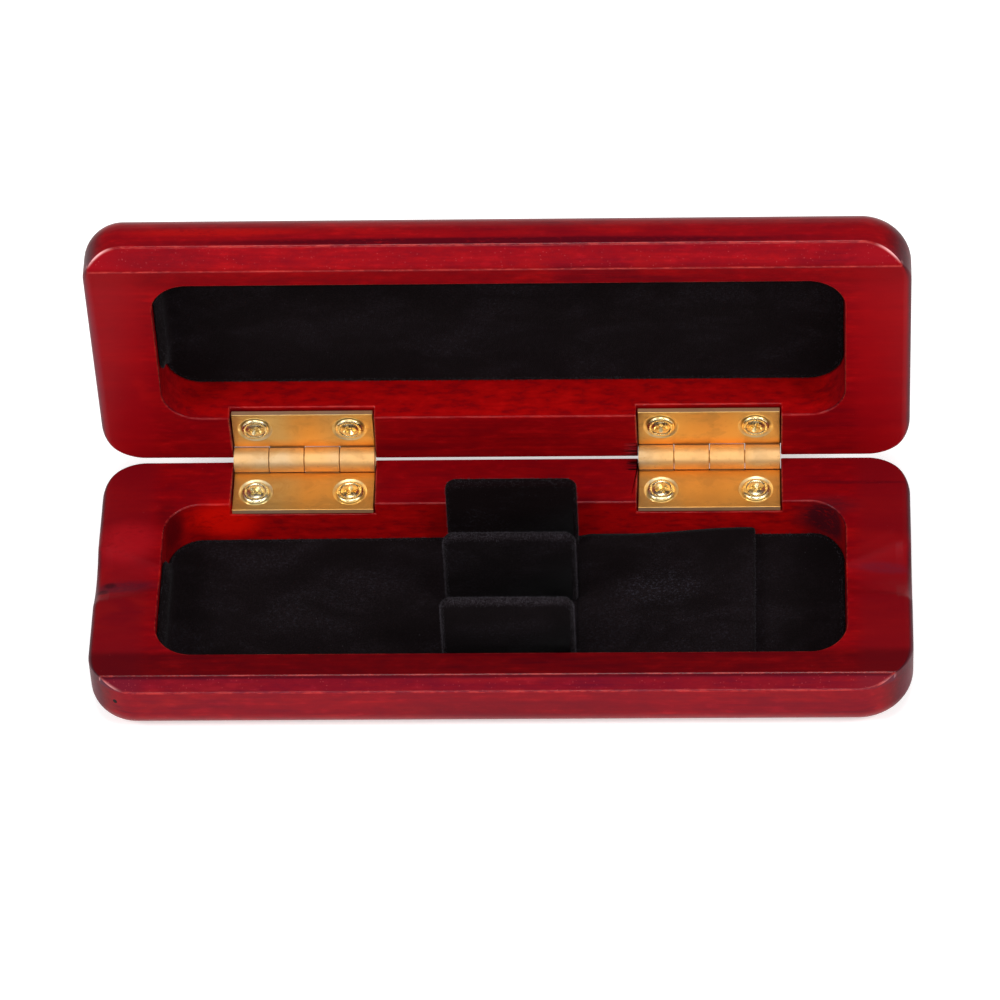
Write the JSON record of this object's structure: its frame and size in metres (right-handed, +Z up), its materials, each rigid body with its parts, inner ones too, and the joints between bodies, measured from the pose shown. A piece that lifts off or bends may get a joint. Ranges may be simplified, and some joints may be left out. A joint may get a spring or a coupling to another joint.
{
  "type": "oboe reed case",
  "caption": "Small hinged wooden case for oboe reeds, velvet-lined, with upright velvet tabs between the reeds and a low rest for the blades.",
  "frame": {"origin": "centre of the flat underside of the base", "axes": "+Z up out of the open base, +X along the length, the lid hinges at the back on +Y and the case opens at the front on -Y"},
  "size_m": [0.106, 0.0481, 0.0482],
  "materials": {
    "stained_wood": "red-stained hardwood under semi-gloss lacquer, grain along the length",
    "black_velvet": "short-pile black velvet",
    "lining_board": "plain grey paper board",
    "hinge_brass": "satin brass sheet with light scuffs",
    "screw_brass": "bright turned brass"
  },
  "bodies": {
    "base": {"base_shell": "stained_wood", "base_lining_board": "lining_board", "base_lining_velvet": "black_velvet", "tab_rear_card": "lining_board", "tab_rear_velvet": "black_velvet", "tab_middle_card": "lining_board", "tab_middle_velvet": "black_velvet", "tab_front_card": "lining_board", "tab_front_velvet": "black_velvet", "reed_rest_wedge": "lining_board", "reed_rest_velvet": "black_velvet", "hinge_left_base_leaf": "hinge_brass", "hinge_left_base_screw_left": "screw_brass", "hinge_left_base_screw_right": "screw_brass", "hinge_left_pin": "hinge_brass", "hinge_right_base_leaf": "hinge_brass", "hinge_right_base_screw_left": "screw_brass", "hinge_right_base_screw_right": "screw_brass", "hinge_right_pin": "hinge_brass"},
    "lid": {"lid_shell": "stained_wood", "lid_lining_board": "lining_board", "lid_lining_velvet": "black_velvet", "hinge_left_lid_leaf": "hinge_brass", "hinge_left_lid_screw_left": "screw_brass", "hinge_left_lid_screw_right": "screw_brass", "hinge_right_lid_leaf": "hinge_brass", "hinge_right_lid_screw_left": "screw_brass", "hinge_right_lid_screw_right": "screw_brass"}
  },
  "joints": [
    {"name": "lid_hinge", "type": "hinge", "parent": "base", "child": "lid", "pos_m": [0, 0.01965, 0.0091], "axis": [-1, 0, 0], "range_deg": [-89, 91]}
  ]
}
